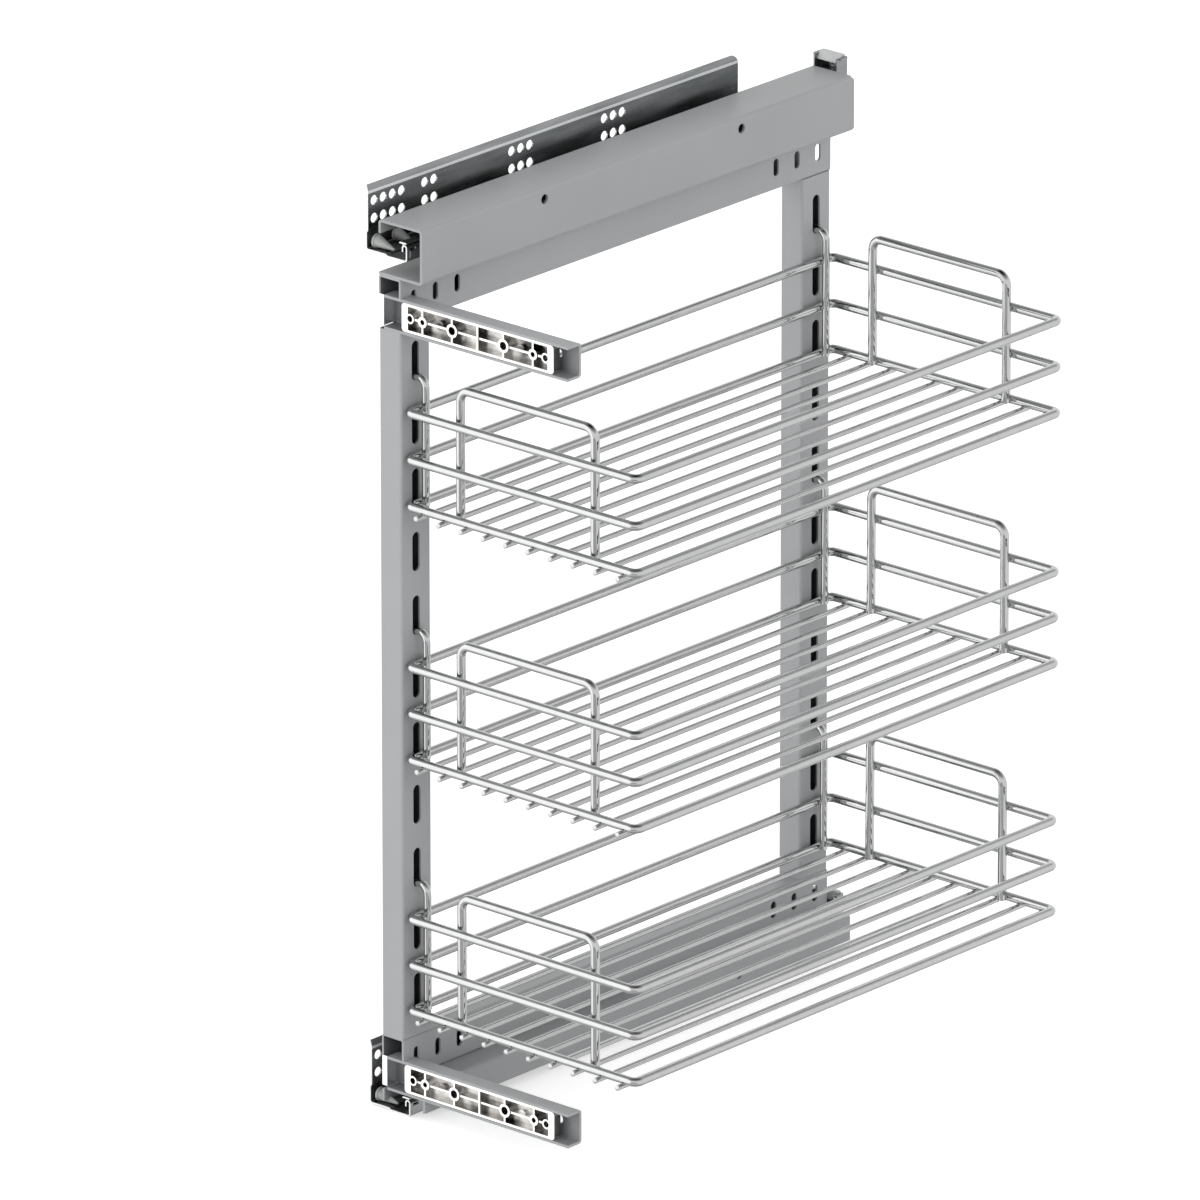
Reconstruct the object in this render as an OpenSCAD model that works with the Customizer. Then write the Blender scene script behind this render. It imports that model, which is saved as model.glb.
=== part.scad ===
// Side-mounted pull-out frame with three hook-on wire baskets for a narrow base cabinet.
// X runs away from the cabinet side, Y from the cabinet front to its back, Z up.
// X = 0 is the cabinet side panel, Y = 0 the front of the frame, Z = 0 the lower runner's bottom.

/* [Frame] */
// Gap between the cabinet side panel and the frame
frame_gap = 12; // [11:0.5:16]
// Depth of the frame, front face of the front post to rear face of the rear post
frame_depth = 450; // [445:5:480]
// Height of the posts between the two rails
post_h = 524; // [500:1:600]
// Width of posts and rails across the cabinet
tube_w = 20; // [18:1:24]
// Depth of a post, front to back
post_d = 30; // [26:1:36]
// Height of the lower rail
lower_rail_h = 30; // [28:1:36]
// Height of the upper rail
upper_rail_h = 33; // [28:1:36]
// Wall of posts and rails
tube_t = 1.5; // [1.2:0.1:2]
// Outside corner radius of posts and rails
tube_r = 1.8; // [1.6:0.1:2.4]

/* [Slots for the basket hooks] */
// Number of slots in a post
slot_n = 11; // [11:1:12]
// Width of a slot
slot_w = 7.5; // [6.6:0.1:9]
// Length of a slot, end to end
slot_l = 28.5; // [28:0.5:32]
// Height of the lowest slot's lower end above the post's foot
slot_foot = 17; // [10:1:20]
// Height of the post above the highest slot's upper end
slot_head = 14.5; // [12:0.5:20]

/* [Rail slots] */
// Width of a fixing slot in a rail
rail_slot_w = 5.5; // [4:0.5:7]
// Height of a fixing slot in a rail
rail_slot_h = 12.7; // [10:0.1:14]
// Distance of the first fixing slot from the rail's end
rail_slot_end = 13.5; // [12:0.5:15]
// Distance from one fixing slot to the next
rail_slot_pitch = 22.3; // [18:0.1:26]

/* [Carriers] */
// Width of the carriers over the runners
carrier_w = 40; // [40:1:46]
// Sheet of the carriers
carrier_t = 2; // [1.5:0.1:2]
// Length of the carriers and drawer members beyond the frame's rear face
carrier_overhang = 2; // [0:0.5:6]
// Height of the upper carrier
upper_carrier_h = 40; // [40:1:50]
// Height of the lower carrier
lower_carrier_h = 20; // [18:1:21]
// Height of the lip on the upper carrier's open side
carrier_lip = 10; // [6:1:12]
// Outside bend radius of the carriers
carrier_r = 3; // [2.6:0.2:4]
// Diameter of the access holes in the carriers' sides
access_d = 7; // [5:0.5:8]
// Place of the front access hole
access_front = 126; // [100:1:150]
// Place of the rear access hole
access_rear = 332; // [300:1:360]

/* [Runners] */
// Height of a cabinet member's flange
flange_h = 48; // [46:1:56]
// Length of the flange
flange_l = 385; // [300:5:400]
// Length of the cabinet member's track
track_l = 440; // [430:1:440]
// Sheet of the runner members
member_t = 1.2; // [1:0.1:1.2]
// Height of the drawer member's top above the runner's bottom
seat_h = 24; // [24:0.5:26]
// Length of the middle member
middle_l = 400; // [380:5:400]
// Diameter of the screw holes in the flange
screw_hole_d = 7; // [5:0.5:8]
// Distance from one screw hole to the next in a group
screw_hole_pitch = 9.3; // [9:0.1:11]
// Height of the lower row of screw holes
screw_row_low = 23; // [22:0.2:24]
// Height of the upper row of screw holes
screw_row_high = 35.8; // [35:0.2:37]

/* [Door brackets] */
// Length of a door bracket
bracket_l = 168; // [162:1:190]
// Height of a door bracket
bracket_h = 25; // [24:0.5:26]
// Depth of a door bracket
bracket_d = 14; // [14:0.5:16]
// Sheet of the door brackets
bracket_t = 2; // [1.5:0.1:2.5]
// Width of the filler block at a bracket's inner end
block_w = 4.7; // [4:0.1:6]
// Length of a door adapter
adapter_l = 139; // [136:1:144]
// Distance from the bracket's inner end to the adapter
adapter_inset = 16; // [10:0.5:20]
// Thickness of a door adapter, front to back
adapter_d = 6.5; // [6:0.5:8]

/* [Baskets] */
// Width of a basket over its rails
basket_w = 215; // [200:5:240]
// Length of a basket over its rails beyond the frame's depth
basket_overhang = 2; // [-4:0.5:12]
// Wire of the rails and guards
rail_wire = 6.5; // [5:0.5:6.5]
// Wire of the floor
floor_wire = 4; // [3:0.5:5]
// Wire of the hooks
hook_wire = 5.5; // [4.5:0.5:5.5]
// Height from the bottom rail to the top rail
basket_h = 68; // [60:1:76]
// Height of a guard above the bottom rail
guard_h = 93; // [88:1:110]
// Width of a guard between its legs
guard_w = 123; // [100:1:150]
// Number of floor wires
floor_n = 10; // [6:1:12]
// Distance between floor wires
floor_pitch = 20.5; // [15:0.5:21]
// Length of floor wire beyond the front and rear rails
floor_poke = 3; // [1:0.5:5]
// Slots from one basket to the next
basket_step = 4; // [3:1:4]
// Height of the hook above the basket's bottom rail
hook_rise = 91; // [86:1:94]

/* [Hidden] */

$fn = 48;
// Gap left between a piece and what carries or passes it
slack = 0.3;
// How far a cutting shape runs past what it cuts
over = 1;

// Carriers, drawer members and baskets run along the whole frame
carrier_l = frame_depth + carrier_overhang;
basket_l = frame_depth + basket_overhang;

// Heights of the stacked pieces
z_lower_carrier = seat_h + carrier_t - lower_carrier_h;
z_lower_rail = seat_h + carrier_t;
z_post = z_lower_rail + lower_rail_h;
z_upper_rail = z_post + post_h;
z_upper_carrier = z_upper_rail + upper_rail_h;
z_upper_runner = z_upper_carrier + upper_carrier_h - carrier_t - seat_h;

// Sides of the frame
x_frame = frame_gap;
x_face = frame_gap + tube_w;

// Door brackets: as far above the post's top as the photograph shows, and in the lower carrier's front
upper_bracket_drop = 5.6;
lower_bracket_drop = 11;
z_upper_bracket = z_upper_rail - upper_bracket_drop;
z_lower_bracket = z_lower_rail - lower_bracket_drop;
x_bracket = x_frame + block_w;
x_adapter = x_bracket + adapter_inset + adapter_l / 2;
adapter_fit = 0.2;
adapter_h = bracket_h - 2 * (bracket_t + adapter_fit);
adapter_y = 0.4;
adapter_screw_x = 37;
adapter_screw_d = 4;
adapter_screw_end = 5;
screw_fit = 0.1;
// Round hole in the bracket's web behind each end of the adapter
web_hole_inset = 5.5;
web_hole_x = adapter_l / 2 - web_hole_inset;
web_hole_rise = 1.2;
web_hole_d = 6.5;
// Places and radii of the adapter's bosses, from its middle: place, outer radius, hole radius
adapter_bosses = [[62, 3.6, 2.3], [50.5, 3.9, 1.9], [23.5, 4.9, 3]];

// Runner section, in its own X and Z, measured from the cabinet side panel and the runner's bottom
joggle = 1.2;
joggle_z = 14;
lip_drop = 4.5;
lip_z = flange_h - lip_drop;
step_place = 7;
track_step_x = frame_gap + step_place;
track_step = 1;
track_reach = 26.2;
hook_outer_x = frame_gap + track_reach;
hook_top = 12.2;
hook_w = 3.6;
hook_leg_end = 7;
bend = 1.7;
fold = 1.1;
roller_low_d = 4.4;
roller_high_d = 4;
middle_floor_z = member_t + slack + roller_low_d + slack;
middle_gap = 0.6;
middle_top_z = hook_top + middle_gap;
middle_web_place = 18.6;
middle_foot_place = 10.9;
middle_web_x = frame_gap + middle_web_place;
middle_left_x = frame_gap + middle_foot_place;
middle_inset = 0.8;
middle_right_x = hook_outer_x - middle_inset;
shelf_z = middle_floor_z + member_t + slack + roller_high_d + slack;
drawer_web_place = 4.4;
drawer_reach = 35;
drawer_skirt = 7.6;
drawer_setback = 26;
drawer_shelf_gap = 1;
drawer_web_x = frame_gap + drawer_web_place;
drawer_right_x = frame_gap + drawer_reach;
drawer_right_z = seat_h - drawer_skirt;
drawer_y = bracket_d + drawer_setback;
middle_notch = 12;
// Groups of screw holes in the flange: place of the first hole, number of holes
screw_groups = [[6.3, 4], [58, 2], [147.6, 3], [244, 3]];

// Guide cones on the track
cone_y = [6.3, 27];
cone_setback = 6.8;
cone_base_x = frame_gap - cone_setback;
cone_l = 16.2;
cone_r = 5.1;
cone_tip_r = 0.9;
cone_tilt = 11;
cone_rim = 1;
cone_sink = 0.2;
cone_shoulder = 0.5;

// Roller cages: first end, number of rollers, distance from roller to roller
outer_cage_y = 110;
outer_cage_n = 8;
inner_cage_y = 150;
inner_cage_n = 9;
roller_pitch = 19;
cage_t = 1.3;
cage_inset = 0.3;
cage_overlap = 0.6;
cage_rim = 0.7;
roller_end_gap = 0.9;
roller_fit = 0.2;

// Rear clip
clip_w = 22;
clip_d = 11;
clip_rise = 11;
clip_top = seat_h + clip_rise;
clip_t = 1.2;
clip_inset = 2;
clip_x = frame_gap + clip_inset;

// Baskets
rail_bend = 5;
guard_bend = 8;
hook_bend = 7;
hook_tip_bend = 4.2;
hook_tip_l = 7;
// How far guard legs and hook stems reach below the middle of the bottom rail
leg_end = 1;
basket_x = x_face + slack;
x_left_rail = basket_x + rail_wire / 2;
x_right_rail = basket_x + basket_w - rail_wire / 2;
y_front_rail = rail_wire / 2;
y_rear_rail = basket_l - rail_wire / 2;
x_hook = x_left_rail + (rail_wire + hook_wire) / 2;
x_hook_tip = x_face - tube_t - slack - hook_tip_bend;
y_posts = [post_d / 2, frame_depth - post_d / 2];
weld = 0.1;
x_basket_mid = (x_left_rail + x_right_rail) / 2;
x_guard_legs = [x_basket_mid - guard_w / 2, x_basket_mid + guard_w / 2];
y_guards = [y_front_rail + rail_wire - weld, y_rear_rail - rail_wire + weld];
slot_pitch = (post_h - slot_foot - slot_head - slot_l) / (slot_n - 1);
// Which slot, counted from the foot, carries each basket, from the lowest basket up
top_slot = slot_n - 1;
basket_slots = [top_slot - 2 * basket_step, top_slot - basket_step, top_slot];

function slot_bottom(i) = z_post + slot_foot + i * slot_pitch;
function hook_z(level) = slot_bottom(basket_slots[level]) + slack + hook_wire / 2;
function rail_z(level) = hook_z(level) - hook_rise;

// Rectangle with round corners, from its low corner to its high corner
module round_rect(x0, z0, x1, z1, r) {
  translate([x0 + r, z0]) square([x1 - x0 - 2 * r, z1 - z0]);
  translate([x0, z0 + r]) square([x1 - x0, z1 - z0 - 2 * r]);
  for (x = [x0 + r, x1 - r], z = [z0 + r, z1 - r]) translate([x, z]) circle(r = r);
}

// One side of a bent strip: the line of points moved sideways by h, with bends of radius r
function way(p, i) = (p[i + 1] - p[i]) / norm(p[i + 1] - p[i]);
function bent_side(p, r, h) = concat(
  [p[0] + h * [-way(p, 0).y, way(p, 0).x]],
  [for (i = [1 : len(p) - 2])
    let (u = way(p, i - 1), v = way(p, i), a = atan2(u.x * v.y - u.y * v.x, u.x * v.x + u.y * v.y),
         c = p[i] - u * r * tan(abs(a) / 2) + sign(a) * r * [-u.y, u.x], n = ceil(abs(a) / 15))
      for (k = [0 : n]) let (b = atan2(u.x, -u.y) + a * k / n)
        c + (h - sign(a) * r) * [cos(b), sin(b)]],
  [p[len(p) - 1] + h * [-way(p, len(p) - 2).y, way(p, len(p) - 2).x]]);

// Bent strip of sheet that follows a line of points
module strip(points, t, r) {
  one = bent_side(points, r, t / 2);
  other = bent_side(points, r, -t / 2);
  polygon(concat(one, [for (i = [len(other) - 1 : -1 : 0]) other[i]]));
}

// Section in X and Z, drawn out along Y
module along_y(y0, y1) {
  translate([0, y1, 0]) rotate([90, 0, 0]) linear_extrude(y1 - y0) children();
}

// Section in Y and Z, drawn out along X
module along_x(x0, x1) {
  translate([x0, 0, 0]) rotate([90, 0, 90]) linear_extrude(x1 - x0) children();
}

// Upright slot through a wall at a given X, seen along X
module upright_slot(x, y, z, w, l, depth) {
  translate([x, y, z]) rotate([90, 0, 90]) linear_extrude(depth, center = true) {
    translate([-w / 2, -l / 2 + w / 2]) square([w, l - w]);
    for (s = [-1, 1]) translate([0, s * (l - w) / 2]) circle(d = w);
  }
}

module block(x0, y0, z0, x1, y1, z1) {
  translate([x0, y0, z0]) cube([x1 - x0, y1 - y0, z1 - z0]);
}

// Round bar along one of the axes
module bar_x(x0, x1, y, z, d) {
  translate([x0, y, z]) rotate([0, 90, 0]) cylinder(d = d, h = x1 - x0);
}

module bar_y(y0, y1, x, z, d) {
  translate([x, y1, z]) rotate([90, 0, 0]) cylinder(d = d, h = y1 - y0);
}

module bar_z(z0, z1, x, y, d) {
  translate([x, y, z0]) cylinder(d = d, h = z1 - z0);
}

// Quarter bend of a wire in its own XY plane, from its +X side to its +Y side
module quarter(r, d) {
  rotate_extrude(angle = 90) translate([r, 0]) circle(d = d);
}

// Runners

module cabinet_section() {
  t = member_t;
  strip([
    [t / 2, flange_h], [joggle + t / 2, lip_z], [joggle + t / 2, joggle_z + joggle], [t / 2, joggle_z],
    [t / 2, track_step + t / 2], [track_step_x - t / 3, track_step + t / 2],
    [track_step_x + 2 * t / 3, t / 2], [hook_outer_x - t / 2, t / 2],
    [hook_outer_x - t / 2, hook_top - t / 2],
    [hook_outer_x - t / 2 - hook_w, hook_top - t / 2], [hook_outer_x - t / 2 - hook_w, hook_leg_end]],
    t, bend);
}

module cabinet_member(z0) {
  rear_r = 6;
  window_y = 3;
  window_l = 6;
  window_z = 8.2;
  window_h = 1.4;
  pad_z = 2.9;
  pad_gap = 0.4;
  pad_rise = 0.4;
  translate([0, 0, z0]) color([0.5, 0.53, 0.55]) {
    difference() {
      along_y(0, track_l) cabinet_section();
      // The flange ends before the track, with a round top corner
      block(-over, flange_l, joggle_z, joggle + member_t + over, track_l + over, flange_h + over);
      difference() {
        block(-over, flange_l - rear_r, flange_h - rear_r, joggle + member_t + over, flange_l + over,
              flange_h + over);
        bar_x(-2 * over, joggle + member_t + 2 * over, flange_l - rear_r, flange_h - rear_r, 2 * rear_r);
      }
      for (g = screw_groups, i = [0 : g[1] - 1], z = [screw_row_low, screw_row_high])
        bar_x(-over, joggle + member_t + over, g[0] + i * screw_hole_pitch, z, screw_hole_d);
      // Lanced opening near the track's front end
      block(hook_outer_x - member_t - over, window_y, window_z, hook_outer_x + over, window_y + window_l,
            window_z + window_h);
    }
    // Pad pressed out of the track's side
    block(hook_outer_x - pad_rise, window_y, pad_z, hook_outer_x + pad_rise, window_y + window_l,
          window_z - pad_gap);
  }
}

module guide_cones(z0, leg_slot) {
  floor_z = track_step + member_t;
  axis_z = floor_z + cone_r - cone_sink;
  reach = 2 * cone_r;
  translate([0, 0, z0]) color([0.66, 0.67, 0.65]) for (y = cone_y) difference() {
    translate([cone_base_x, y, axis_z]) {
      rotate([0, 90 + cone_tilt, 0]) cylinder(r1 = cone_r - cone_shoulder, r2 = cone_tip_r, h = cone_l);
      translate([-cone_rim, 0, 0]) rotate([0, 90, 0]) cylinder(r = cone_r, h = cone_rim + cone_shoulder);
    }
    block(0, y - reach, -reach, cone_base_x + cone_l + reach, y + reach, floor_z);
    if (leg_slot)
      block(frame_gap - slack, y - reach, z_lower_carrier - slack, frame_gap + carrier_t + slack,
            y + reach, seat_h);
  }
}

module middle_member(z0) {
  t = member_t;
  translate([0, 0, z0]) color([0.62, 0.64, 0.65]) difference() {
    along_y(0, middle_l) strip([
      [middle_right_x, middle_top_z + t / 2], [middle_web_x + t / 2, middle_top_z + t / 2],
      [middle_web_x + t / 2, middle_floor_z + t / 2], [middle_left_x, middle_floor_z + t / 2]],
      t, fold);
    // The web starts behind the front end, so only the top strip reaches the front
    block(middle_left_x - over, -over, -over, middle_right_x + over, middle_notch, middle_top_z);
  }
}

module drawer_member(z0) {
  t = member_t;
  translate([0, 0, z0]) color([0.55, 0.57, 0.58]) along_y(drawer_y, carrier_l) strip([
    [middle_web_x - drawer_shelf_gap, shelf_z + t / 2], [drawer_web_x + t / 2, shelf_z + t / 2],
    [drawer_web_x + t / 2, seat_h - t / 2], [drawer_right_x - t / 2, seat_h - t / 2],
    [drawer_right_x - t / 2, drawer_right_z]], t, fold);
}

// Flat cage with a window for each roller
module roller_cage(z0, y0, n, axis_z, x0, x1, d) {
  translate([0, 0, z0]) color([0.2, 0.2, 0.21]) difference() {
    block(x0, y0, axis_z - cage_t / 2, x1, y0 + n * roller_pitch, axis_z + cage_t / 2);
    for (i = [0 : n - 1])
      block(x0 + cage_rim, y0 + (i + 0.5) * roller_pitch - d / 2 - roller_fit, axis_z - cage_t,
            x1 - cage_rim, y0 + (i + 0.5) * roller_pitch + d / 2 + roller_fit, axis_z + cage_t);
  }
}

module rollers(z0, y0, n, axis_z, x0, x1, d) {
  translate([0, 0, z0]) color([0.85, 0.85, 0.82]) for (i = [0 : n - 1])
    bar_x(x0 + roller_end_gap, x1 - roller_end_gap, y0 + (i + 0.5) * roller_pitch, axis_z, d);
}

outer_axis_z = member_t + slack + roller_low_d / 2;
inner_axis_z = middle_floor_z + member_t + slack + roller_high_d / 2;
outer_cage_x = [middle_left_x - cage_inset, middle_web_x + cage_overlap];
inner_cage_x = [middle_left_x + cage_inset, middle_web_x - cage_overlap];

module outer_cage(z0) {
  roller_cage(z0, outer_cage_y, outer_cage_n, outer_axis_z, outer_cage_x[0], outer_cage_x[1], roller_low_d);
}

module outer_rollers(z0) {
  rollers(z0, outer_cage_y, outer_cage_n, outer_axis_z, outer_cage_x[0], outer_cage_x[1], roller_low_d);
}

module inner_cage(z0) {
  roller_cage(z0, inner_cage_y, inner_cage_n, inner_axis_z, inner_cage_x[0], inner_cage_x[1], roller_high_d);
}

module inner_rollers(z0) {
  rollers(z0, inner_cage_y, inner_cage_n, inner_axis_z, inner_cage_x[0], inner_cage_x[1], roller_high_d);
}

// Rear clip that holds the drawer member's rear end and the carrier

clip_block_h = 6;
clip_block_rise = 1.5;
clip_screw_d = 3;
clip_screw_drop = 8.5;
clip_screw_z = clip_top - clip_screw_drop;
clip_lap = 2;

module rear_clip(z0) {
  tongue_l = 24;
  ear = 2;
  // The clip passes over the middle member's top strip when the frame is out
  z_foot = middle_top_z + member_t + 2 * slack;
  y1 = carrier_l + clip_d;
  translate([0, 0, z0]) color([0.3, 0.31, 0.32]) difference() {
    union() {
      block(clip_x, y1 - clip_t, z_foot, clip_x + clip_w, y1, clip_top - clip_block_h / 2);
      for (side = [0, 1]) {
        x0 = side == 0 ? clip_x : clip_x + clip_w - clip_t;
        x_ear = side == 0 ? clip_x - ear : clip_x + clip_w - clip_t;
        block(x0, carrier_l, z_foot, x0 + clip_t, y1, clip_top);
        block(x_ear, carrier_l + clip_lap, clip_top - clip_t, x_ear + ear + clip_t, y1 - clip_lap, clip_top);
      }
      block(drawer_web_x + member_t + slack, carrier_l - tongue_l, seat_h - member_t - clip_t,
            clip_x + clip_w, y1, seat_h - member_t);
    }
    bar_y(y1 - 2 * clip_t, y1 + over, clip_x + clip_w / 2, clip_screw_z, clip_screw_d + screw_fit);
  }
}

module clip_block(z0) {
  x0 = clip_x + clip_t;
  x1 = clip_x + clip_w - clip_t;
  y0 = carrier_l + clip_lap + over;
  y1 = carrier_l + clip_d - clip_t;
  zb = clip_top - clip_block_h + clip_block_rise;
  zt = clip_top + clip_block_rise;
  slope_y = 3;
  slope_z = 1.6;
  recess = 3.4;
  recess_w = 2.6;
  recess_x = 4.6;
  recess_y = 1.4;
  translate([0, 0, z0]) color([0.72, 0.73, 0.73]) difference() {
    along_x(x0, x1) polygon([[y0, zb], [y1, zb], [y1, zt], [y0 + slope_y, zt], [y0, zb + slope_z]]);
    // Two wedge-shaped finger recesses in the sloping face
    for (s = [-1, 1]) translate([(x0 + x1) / 2 + s * recess_x, y0 + recess_y, zt]) rotate([45, 0, 0])
      cube([recess, recess, recess_w], center = true);
  }
}

module clip_screw(z0) {
  y1 = carrier_l + clip_d;
  head_d = 6;
  head_h = 2.2;
  tail_l = 2.5;
  cross = [3.4, 2.4, 0.8];
  translate([0, 0, z0]) color([0.75, 0.76, 0.77]) difference() {
    union() {
      bar_y(y1 - clip_t - head_h, y1 - clip_t, clip_x + clip_w / 2, clip_screw_z, head_d);
      bar_y(y1 - clip_t - head_h, y1 + tail_l, clip_x + clip_w / 2, clip_screw_z, clip_screw_d);
    }
    // Cross recess
    for (a = [0, 90]) translate([clip_x + clip_w / 2, y1 - clip_t - head_h, clip_screw_z]) rotate([0, a, 0])
      cube(cross, center = true);
  }
}

// Carriers

module upper_carrier() {
  t = carrier_t;
  x1 = x_frame + carrier_w;
  z0 = z_upper_carrier;
  z1 = z0 + upper_carrier_h;
  end_r = 3;
  access_drop = 8.6;
  color([0.62, 0.63, 0.64]) difference() {
    along_y(0, carrier_l) difference() {
      union() {
        round_rect(x_frame, z0, x1, z1, carrier_r);
        translate([x_frame, z0]) square(carrier_r);
      }
      round_rect(x_frame + t, z0 + t, x1 - t, z1 - t, carrier_r - t);
      translate([x_frame - over, z0 + t]) square([t + 2 * over, upper_carrier_h - t - carrier_lip]);
    }
    // Round rear corners of the side
    for (up = [0, 1]) difference() {
      block(x1 - t - over, carrier_l - end_r, up == 0 ? z0 - over : z1 - end_r, x1 + over,
            carrier_l + over, up == 0 ? z0 + end_r : z1 + over);
      bar_x(x1 - t - 2 * over, x1 + 2 * over, carrier_l - end_r, up == 0 ? z0 + end_r : z1 - end_r,
            2 * end_r);
    }
    for (y = [access_front, access_rear])
      bar_x(x1 - t - over, x1 + over, y, z1 - access_drop, access_d);
  }
}

module lower_carrier() {
  t = carrier_t;
  x1 = x_frame + carrier_w;
  z0 = z_lower_carrier;
  z1 = z0 + lower_carrier_h;
  access_rise = 8.5;
  color([0.58, 0.59, 0.6]) difference() {
    along_y(0, carrier_l) intersection() {
      difference() {
        round_rect(x_frame, z0 - 2 * carrier_r, x1, z1, carrier_r);
        round_rect(x_frame + t, z0 - 3 * carrier_r, x1 - t, z1 - t, carrier_r - t);
      }
      translate([x_frame - over, z0]) square([carrier_w + 2 * over, lower_carrier_h + over]);
    }
    // Notch for the lower door bracket
    block(x_frame - over, -over, z_lower_bracket, x1 + over, bracket_d, z1 + over);
    for (y = [access_front, access_rear])
      bar_x(x1 - t - over, x1 + over, y, z0 + access_rise, access_d);
  }
}

// Frame tubes

module rail_tube(z0, h, bracket_z) {
  color([0.56, 0.57, 0.59]) difference() {
    along_y(0, frame_depth) difference() {
      round_rect(x_frame, z0, x_face, z0 + h, tube_r);
      round_rect(x_frame + tube_t, z0 + tube_t, x_face - tube_t, z0 + h - tube_t, tube_r - tube_t);
    }
    for (i = [0 : 2], end = [0, 1]) {
      place = rail_slot_end + i * rail_slot_pitch;
      upright_slot(x_face, end == 0 ? place : frame_depth - place, z0 + h / 2, rail_slot_w,
                   rail_slot_h, 2 * tube_t + over);
    }
    block(x_frame - over, -over, bracket_z, x_face + over, bracket_d, bracket_z + bracket_h);
  }
}

module upper_rail() {
  rail_tube(z_upper_rail, upper_rail_h, z_upper_bracket);
}

module lower_rail() {
  rail_tube(z_lower_rail, lower_rail_h, z_lower_bracket);
}

module post(y) {
  color([0.67, 0.68, 0.69]) difference() {
    translate([0, 0, z_post]) linear_extrude(post_h) difference() {
      round_rect(x_frame, y - post_d / 2, x_face, y + post_d / 2, tube_r);
      round_rect(x_frame + tube_t, y - post_d / 2 + tube_t, x_face - tube_t, y + post_d / 2 - tube_t,
                 tube_r - tube_t);
    }
    for (i = [0 : slot_n - 1])
      upright_slot(x_face, y, slot_bottom(i) + slot_l / 2, slot_w, slot_l, 2 * tube_t + over);
    block(x_frame - over, -over, z_upper_bracket, x_face + over, bracket_d, z_upper_bracket + bracket_h);
  }
}

module front_post() {
  post(y_posts[0]);
}

module rear_post() {
  post(y_posts[1]);
}

// Door brackets, their filler blocks and the door adapters

module bracket_block(z0) {
  foot_gap = 0.7;
  color([0.8, 0.8, 0.8])
    block(x_frame, 0, z0 + bracket_t + foot_gap, x_bracket, bracket_d, z0 + bracket_h);
}

module door_bracket(z0) {
  t = bracket_t;
  inside_r = 0.6;
  r = bracket_t + inside_r;
  color([0.55, 0.56, 0.58]) difference() {
    along_x(x_bracket, x_bracket + bracket_l) intersection() {
      difference() {
        round_rect(-2 * r, z0, bracket_d, z0 + bracket_h, r);
        round_rect(-3 * r, z0 + t, bracket_d - t, z0 + bracket_h - t, inside_r);
      }
      translate([0, z0 - over]) square([bracket_d + over, bracket_h + 2 * over]);
    }
    for (s = [-1, 1]) {
      bar_y(bracket_d - t - over, bracket_d + over, x_adapter + s * adapter_screw_x, z0 + bracket_h / 2,
            adapter_screw_d + screw_fit);
      bar_y(bracket_d - t - over, bracket_d + over, x_adapter + s * web_hole_x,
            z0 + bracket_h / 2 + web_hole_rise, web_hole_d);
    }
  }
}

module door_adapter(z0) {
  zc = z0 + bracket_h / 2;
  rib = 1.6;
  wall = 1.8;
  end_wall = 5.6;
  back = 1.6;
  corner_r = 2.6;
  pocket_d = adapter_d - back;
  pocket_r = 0.6;
  rib_inset = 0.6;
  pin_r = 3.4;
  pin_y = 3;
  pin_hole_y = 4.5;
  half_l = adapter_l / 2;
  half_h = adapter_h / 2;
  color([0.94, 0.94, 0.93]) translate([x_adapter, 0, zc]) difference() {
    union() {
      difference() {
        along_y(adapter_y, adapter_y + adapter_d) round_rect(-half_l, -half_h, half_l, half_h, corner_r);
        along_y(adapter_y - over, adapter_y + pocket_d)
          round_rect(-half_l + end_wall, -half_h + wall, half_l - end_wall, half_h - wall, pocket_r);
      }
      // Long rib, cross ribs and bosses
      block(-half_l + end_wall / 2, adapter_y + rib_inset, -rib / 2, half_l - end_wall / 2,
            adapter_y + adapter_d - back / 2, rib / 2);
      for (x = [-adapter_bosses[1][0], -adapter_bosses[2][0], 0, adapter_bosses[2][0], adapter_bosses[1][0]])
        block(x - rib / 2, adapter_y, -half_h + wall / 2, x + rib / 2, adapter_y + adapter_d - back / 2,
              half_h - wall / 2);
      for (b = adapter_bosses, s = [-1, 1])
        bar_y(adapter_y, adapter_y + adapter_d, s * b[0], 0, 2 * b[1]);
      // Screw pillars that stand the adapter off the bracket's web
      for (s = [-1, 1])
        bar_y(adapter_y + pin_y, bracket_d - bracket_t, s * adapter_screw_x, 0, 2 * pin_r);
    }
    for (b = adapter_bosses, s = [-1, 1])
      bar_y(adapter_y - over, adapter_y + adapter_d + over, s * b[0], 0, 2 * b[2]);
    for (s = [-1, 1])
      bar_y(adapter_y + pin_hole_y, bracket_d, s * adapter_screw_x, 0, adapter_screw_d + screw_fit);
  }
}

module adapter_screws(z0) {
  head_d = 7.5;
  head_h = 2.4;
  cross = [4.4, 2.6, 1];
  color([0.78, 0.79, 0.8]) for (s = [-1, 1]) {
    x = x_adapter + s * adapter_screw_x;
    z = z0 + bracket_h / 2;
    difference() {
      union() {
        bar_y(adapter_y + adapter_screw_end, bracket_d + head_h, x, z, adapter_screw_d);
        bar_y(bracket_d, bracket_d + head_h, x, z, head_d);
      }
      for (a = [0, 90]) translate([x, bracket_d + head_h, z]) rotate([0, a, 0])
        cube(cross, center = true);
    }
  }
}

// Baskets, by level from the lowest basket up

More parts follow.
